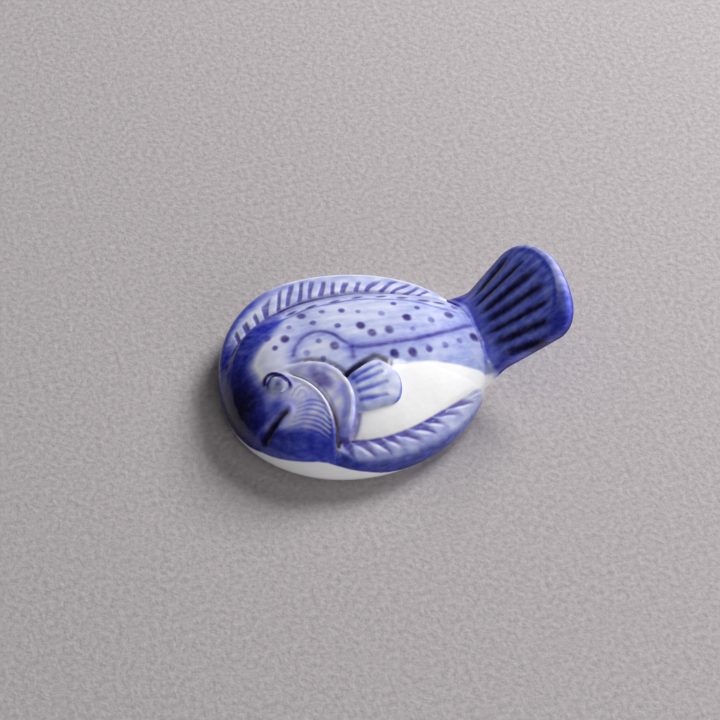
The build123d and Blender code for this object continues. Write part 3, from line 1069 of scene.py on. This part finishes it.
def fin_coats(x, y):
    """The two edge fins, and a dark line along the dorsal fin's root."""
    dorsal_gap, _, angle = fin_place(DORSAL_ROOT, x, y)
    anal_gap, _, _ = fin_place(ANAL_ROOT, x, y)
    dorsal = smooth(-0.12, 0.12, dorsal_gap) * window(12.0, 18.0, 162.0, 176.0, angle)
    groove = hump(dorsal_gap, 0.32) * window(10.0, 24.0, 152.0, 162.0, angle)
    anal = smooth(-0.15, 0.15, anal_gap) * window(231.0, 234.0, 329.0, 333.0, angle)
    return [
        (dorsal_paint(x, y), dorsal),
        (GROOVE_INK, groove * (0.5 + 0.5 * fade(-14.0, -5.0, x))),
        (anal_paint(x, y), anal * smooth(0.0, 0.3, circle_gap(CHEEK, x, y))),
    ]


def crevice_coats(x, y):
    """Cream and brown behind the cheek, ink and brown above the pectoral fin."""
    inner = circle_gap(CHEEK, x, y)
    edge = cheek_edge(x, y)
    low = fade(-12.5, -9.0, y)
    return [
        (CREAM, 0.75 * (1 - low) * hump(inner - 0.2, 0.26) * edge),
        (UMBER, (0.3 + 0.5 * low) * hump(inner - 0.25, 0.2 + 0.1 * low) * edge),
        drawn(PECTORAL_GAP, x, y, INK, 0.5, 2.4, -0.9),
        drawn(PECTORAL_GAP, x, y, UMBER, 0.5, -0.6, 0.9),
    ]


def face_coats(x, y):
    """Lines of the eye and the mouth."""
    slit, place = near_line(MOUTH, x, y)
    return [
        drawn(EYELID, x, y, GROOVE_INK, 0.3, 1.5, 1.0),
        drawn(INNER_LID, x, y, GROOVE_INK, 0.14, 0.6, 0.8),
        (INK, hump(slit, 0.68 - 0.25 * place) * (1.6 - 0.8 * place)),
        (UMBER, 0.4 * hump(slit, 0.4) * smooth(0.6, 0.9, place)),
    ]


def trunk_paint(x, y):
    """Painting of the whole trunk, so that washes run on across its seams."""
    colour = back_paint(x, y)
    for layers in (gill_coats, head_coats, fin_coats, crevice_coats, face_coats):
        colour = coats(colour, *layers(x, y))
    return coats(colour, (CLAY, foot_clay(x, y, plain_height(x, y))))


def tail_paint(s, u, x, y, upper):
    """Cobalt with nearly black grooves and painted highlights on the ridges, the pale end rim and the crease;
    the body's painting before the crease.
    """
    crease = s - lookup(TAIL_CREASE, u)
    ridge_highlight = 0.5 - 0.5 * np.cos(tau * tail_rays(s, u)[1])
    round_out = np.hypot((s - TAIL_SQUARE) / (TAIL_REACH - TAIL_SQUARE), u / TAIL_DORSAL.end)
    beyond = smooth(TAIL_SQUARE + 1.0, TAIL_SQUARE + 3.5, s) * upper
    # strength of the painted highlight on the end rim, strongest on the upper side
    highlight = smooth(-8.5, -2.0, u) * (0.75 + 0.2 * wash(s, u, 0.5))
    body = coats(back_paint(x, y), (DEEP, 0.85 * smooth(5.0, 7.0, u)))
    return coats(
        TAIL_BLUE,
        (DEEP, 0.2 + 0.28 * wash(s * 0.2, u * 1.6, 0.6)),
        (ROOT_BLUE, 0.85 * hump(crease - 0.3, 1.2)),
        (COBALT, 0.85 * (1 - upper)),
        (DEEP, (0.4 + 0.15 * wash(s, u * 0.3, 1.4)) * (1 - upper)),
        (DEEP, 0.6 * smooth(0.8, 0.95, np.abs(u) / tail_straight(s))),
        # painted highlight along the ridges between the grooves
        (RIDGE_HIGHLIGHT_BLUE, 0.75 * ridge_highlight**2 * window(0.5, 4.0, 9.0, 14.0, s) * upper),
        (INK, 0.97 * tail_strokes(s, u) * upper),
        (COBALT, 0.6 * smooth(0.74, 0.84, round_out) * beyond),
        # pale end rim: a painted highlight
        (RIM_HIGHLIGHT, smooth(0.85, 0.92, round_out) * highlight * beyond),
        (body, fade(-0.35, 0.2, crease)),
        # lilac line on the ridge before the crease: a painted highlight
        (LILAC, 0.6 * hump(crease + 0.25, 0.2) * window(-8.0, -6.0, 3.5, 5.0, u)),
    )


def pectoral_paint(x, y):
    """Pale fan with blue strokes and a thin arc near its end."""
    return coats(
        CLAY,
        (HAZE, 0.58 + 0.25 * wash(x, y, 0.7) + 0.35 * fade(-12.6, -11.2, y)),
        (COBALT, 0.75 * pectoral_strokes(x, y) * (1 - 0.6 * smooth(-7.0, -3.6, x))),
        (COBALT, 0.5 * patch(x, y, PECTORAL_BLUE, 1.0)),
        (COBALT, 0.5 * hump(circle_gap(PECTORAL_ARC, x, y), 0.2) * smooth(-4.0, -2.5, x)),
    )


def eye_paint(x, y):
    """A pale ball, bluer at the front, under its painted lid, with a painted highlight on the knob at its
    corner.
    """
    dx, dy = x - EYE_CENTRE[0], y - EYE_CENTRE[1]
    ahead = dx * cos(EYE_TURN) + dy * sin(EYE_TURN)
    return coats(
        CLAY,
        (HAZE, 0.8 + 0.3 * wash(x, y, 0.5)),
        (COBALT, 0.9 * fade(-1.9, -0.7, ahead)),
        (VIOLET, 0.75 * hump(np.hypot(dx, dy + 0.3), 0.6)),
        # white dot on the knob: a painted highlight
        dot(EYE_KNOB, x, y, CLAY, 0.4, 1.0),
        *face_coats(x, y),
    )


def base_paint(x, y, z):
    """White clay, with the anal fin's blue running down on that side."""
    angle, _ = direction(x, y)
    side = smooth(250.0, 262.0, angle) * (z > 0.2)
    blue = coats(NAVY, (COBALT, np.full(len(x), 0.55)), (HAZE, 0.75 * smooth(285.0, 318.0, angle)))
    return coats(CLAY, (blue, side * (1 - foot_clay(x, y, z))))


def linear(colour):
    """A colour given as it looks on a screen, as light."""
    parts = np.asarray(colour, float) / 255
    return np.where(parts > 0.04045, ((parts + 0.055) / 1.055) ** 2.4, parts / 12.92)


def opaque(colour):
    """The same for a node's colour socket."""
    return (*linear(colour), 1.0)


def give_paint(piece, colours):
    """A colour for every vertex, for the glaze to read."""
    layer = piece.data.attributes.new("paint", "FLOAT_COLOR", "POINT")
    values = np.ones((len(colours), 4), np.float32)
    values[:, :3] = linear(np.clip(colours, 0, 255))
    layer.data.foreach_set("color", values.ravel())


# Materials


def new_material(name):
    """A material, its node tree and its shader."""
    material = bpy.data.materials.new(name)
    material.use_nodes = True
    return material, material.node_tree, material.node_tree.nodes["Principled BSDF"]


def set_inputs(tree, node, **inputs):
    """Sets a node's inputs to values, or links them to other nodes' outputs."""
    for name, value in inputs.items():
        socket = node.inputs[name.replace("_", " ")]
        if isinstance(value, bpy.types.NodeSocket):
            tree.links.new(value, socket)
        else:
            socket.default_value = value


def add_node(tree, kind, output, **inputs):
    """The named output of a new node whose inputs are set."""
    made = tree.nodes.new("ShaderNode" + kind)
    set_inputs(tree, made, **inputs)
    return made.outputs[output]


def glaze(name):
    """Painted porcelain under a clear gloss glaze that pools a little unevenly."""
    material, tree, shader = new_material(name)
    place = add_node(tree, "TexCoord", "Object")
    along = add_node(tree, "Mapping", "Vector", Vector=place, Scale=(0.18, 1.0, 1.0))
    paint = add_node(tree, "Attribute", "Color")
    paint.node.attribute_name = "paint"

    def noise(source, scale, detail):
        return add_node(tree, "TexNoise", "Fac", Vector=source, Scale=scale, Detail=detail)

    def ranged(source, low, high):
        ends = dict(From_Min=0.3, From_Max=0.7, To_Min=low, To_Max=high)
        return add_node(tree, "MapRange", "Result", Value=source, **ends)

    brush_hairs = ranged(noise(along, 1500.0, 3.0), 0.85, 1.15)
    grain = ranged(noise(place, 650.0, 7.0), 0.82, 1.18)
    brushed = add_node(tree, "Gamma", "Color", Color=paint, Gamma=brush_hairs)
    colour = add_node(tree, "Gamma", "Color", Color=brushed, Gamma=grain)
    gloss = ranged(noise(place, 160.0, 2.0), 0.09, 0.16)
    ripple = add_node(tree, "Bump", "Normal", Height=noise(place, 420.0, 3.0), Strength=0.12, Distance=0.0006)
    set_inputs(tree, shader, Base_Color=colour, Roughness=gloss, IOR=1.5, Normal=ripple)
    return material


def plaster(name):
    """Pale trowelled plaster with a fine grain."""
    material, tree, shader = new_material(name)
    place = add_node(tree, "TexCoord", "Object")
    grain = add_node(tree, "TexNoise", "Fac", Vector=place, Scale=1100.0, Detail=5.0, Roughness=0.6)
    colour = add_node(tree, "ValToRGB", "Color", Fac=grain)
    for end, (position, tone) in zip(colour.node.color_ramp.elements, FLOOR_TONES):
        end.position = position
        end.color = opaque(tone)
    bump = add_node(tree, "Bump", "Normal", Height=grain, Strength=0.45, Distance=0.0005)
    set_inputs(tree, shader, Base_Color=colour, Roughness=0.85, Specular_IOR_Level=0.25, Normal=bump)
    return material


# Pieces, each with the node it stands for and a material slot name that is not used


def trunk_pieces():
    """Head, gill cover, back and the two edge fins, cut from one surface."""
    plan, _ = disc_plan(rim_reach, CENTRE, TRUNK_ROWS, TRUNK_COLUMNS)
    faces = disc_faces(TRUNK_ROWS, TRUNK_COLUMNS)
    regions = face_regions(plan, faces)
    plan = even_seams(plan, faces, regions)
    x, y = plan.T
    points = np.stack([x, y, trunk_height(x, y)], 1)
    points[-TRUNK_COLUMNS:, 2] = RIM_HEIGHT
    normals = vertex_normals(points, faces)
    made = []
    for number, (node, slot) in enumerate(TRUNK_NODES):
        piece, corners = trunk_piece("fish_" + node, number, points, faces, regions, normals)
        give_paint(piece, trunk_paint(corners[:, 0], corners[:, 1]))
        made.append((piece, node, slot))
    return made


def eye_piece():
    """The ball of the eye."""
    reach = outline_reach(eye_outline(), EYE_CENTRE)
    faces = (eye_top, eye_bottom)
    eye, plan = pillow("fish_eye", reach, EYE_CENTRE, EYE_MESH, faces, EYE_ROUNDNESS, from_above)
    give_paint(eye, eye_paint(*plan.T))
    return eye, "eye", "deep_cobalt_glaze"


def pectoral_piece():
    """The fan behind the gill cover."""
    outline = curve(PECTORAL_OUTLINE + PECTORAL_OUTLINE[:1])[:-1]
    reach = outline_reach(outline, PECTORAL_MIDDLE)
    faces = (pectoral_top, pectoral_bottom)
    fin, plan = pillow(
        "fish_pectoral_fin", reach, PECTORAL_MIDDLE, PECTORAL_MESH, faces, PECTORAL_ROUNDNESS, from_above
    )
    give_paint(fin, pectoral_paint(*plan.T))
    return fin, "pectoral_fin", "pale_cobalt_glaze"


def tail_piece():
    """The raised tail; only its upper face has rays."""
    reach = outline_reach(tail_outline(), TAIL_MIDDLE)
    faces = (tail_top, tail_bottom)
    tail, plan = pillow("fish_tail_fin", reach, TAIL_MIDDLE, TAIL_MESH, faces, TAIL_ROUNDNESS, tail_place)
    s, u = plan.T
    x, y, _ = tail_place(s, u, tail_top(s, u)).T
    upper_count = 1 + TAIL_MESH[0] * TAIL_MESH[1]
    give_paint(tail, tail_paint(s, u, x, y, np.arange(len(s)) < upper_count))
    return tail, "tail_fin", "deep_cobalt_glaze"


def base_piece():
    """The foot: rings from the vent out to its edge, up to the rim and back to the vent."""
    angles = np.linspace(0, tau, BASE_COLUMNS, endpoint=False)
    vent = np.full_like(angles, VENT_RADIUS)
    rim = rim_reach(angles)
    sections = [(VENT_SHIFT, vent, 0.0)]
    sections += [(0.0, rim - inset, height) for inset, height in FOOT_GROOVE]
    for height in np.linspace(FOOT_BEVEL, RIM_HEIGHT, BASE_HEIGHTS):
        sections.append((0.0, rim - lookup(FOOT_LEAN, height), height))
    sections.append((VENT_SHIFT, vent, RIM_HEIGHT))
    rings = []
    faces = []
    for row, (shift, reach, height) in enumerate(sections):
        x = CENTRE[0] + shift + reach * np.cos(angles)
        y = CENTRE[1] + reach * np.sin(angles)
        rings.append(np.stack([x, y, np.full_like(angles, height)], 1))
        low = row * BASE_COLUMNS
        high = (row + 1) % len(sections) * BASE_COLUMNS
        faces += [(low + a, low + b, high + b, high + a) for a, b in round_pairs(BASE_COLUMNS)]
    points = np.vstack(rings)
    base = new_piece("fish_base", points, faces)
    give_paint(base, base_paint(*points.T))
    return base, "base", "white_glaze"


def build():
    """Every piece, painted and glazed, in place of its node."""
    made = trunk_pieces() + [eye_piece(), pectoral_piece(), tail_piece(), base_piece()]
    painted = glaze("cobalt_glaze")
    for piece, node, slot in made:
        piece.data.materials.append(painted)
        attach(piece, "root")
        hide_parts(node)


# Camera, floor and light, in metres
AIM = Vector((-3.6, 4.6, 0.0)) * MM
AZIMUTH = radians(-18.0)
ELEVATION = radians(52.0)
DISTANCE = 0.42
LENS = 126.0
SENSOR_WIDTH = 36.0
FLOOR_HALF = 2.0
FLOOR_TONES = [(0.3, (165, 159, 161)), (0.7, (192, 186, 188))]
ROOM_COLOUR = (226, 226, 231)
ROOM_STRENGTH = 0.05
# Lamps: name, place, size, power and whether the glaze mirrors it
LAMPS = [
    ("window", (0.51, 0.30, 0.42), 0.3, 7.2, False),
    ("sky_panel", (0.1, -0.1, 1.0), 0.8, 1.0, True),
    ("front_card", (0.15, -0.72, 0.2), 0.5, 2.5, False),
    ("sparkle", (0.25, 0.05, 0.6), 0.03, 0.14, True),
]


def add_object(name, data):
    made = bpy.data.objects.new(name, data)
    bpy.context.scene.collection.objects.link(made)
    return made


def add_camera():
    """The camera, which looks down at the fish from the front."""
    back = Vector((sin(AZIMUTH) * cos(ELEVATION), -cos(AZIMUTH) * cos(ELEVATION), sin(ELEVATION)))
    camera = add_object("camera", bpy.data.cameras.new("camera"))
    camera.data.lens = LENS
    camera.data.sensor_width = SENSOR_WIDTH
    camera.location = AIM + back * DISTANCE
    camera.rotation_mode = "QUATERNION"
    camera.rotation_quaternion = (-back).to_track_quat("-Z", "Y")
    bpy.context.scene.camera = camera


def add_floor():
    """A plain pale floor."""
    mesh = bpy.data.meshes.new("floor")
    corners = [(x * FLOOR_HALF, y * FLOOR_HALF, 0) for x, y in ((-1, -1), (1, -1), (1, 1), (-1, 1))]
    mesh.from_pydata(corners, [], [(0, 1, 2, 3)])
    mesh.materials.append(plaster("floor_plaster"))
    add_object("floor", mesh)


def add_lamp(name, place, size, power, glossy):
    """A square lamp that faces the fish."""
    lamp = bpy.data.lights.new(name, "AREA")
    lamp.energy = power
    lamp.size = size
    light = add_object(name, lamp)
    light.location = Vector(place)
    light.rotation_mode = "QUATERNION"
    light.rotation_quaternion = (light.location - AIM).to_track_quat("Z", "Y")
    light.visible_glossy = glossy


def add_room():
    """A faint even light from all round."""
    world = bpy.data.worlds.new("room")
    bpy.context.scene.world = world
    world.use_nodes = True
    background = world.node_tree.nodes["Background"]
    background.inputs["Color"].default_value = opaque(ROOM_COLOUR)
    background.inputs["Strength"].default_value = ROOM_STRENGTH


build()
add_camera()
add_floor()
for row in LAMPS:
    add_lamp(*row)
add_room()
bpy.context.scene.view_settings.view_transform = "Standard"
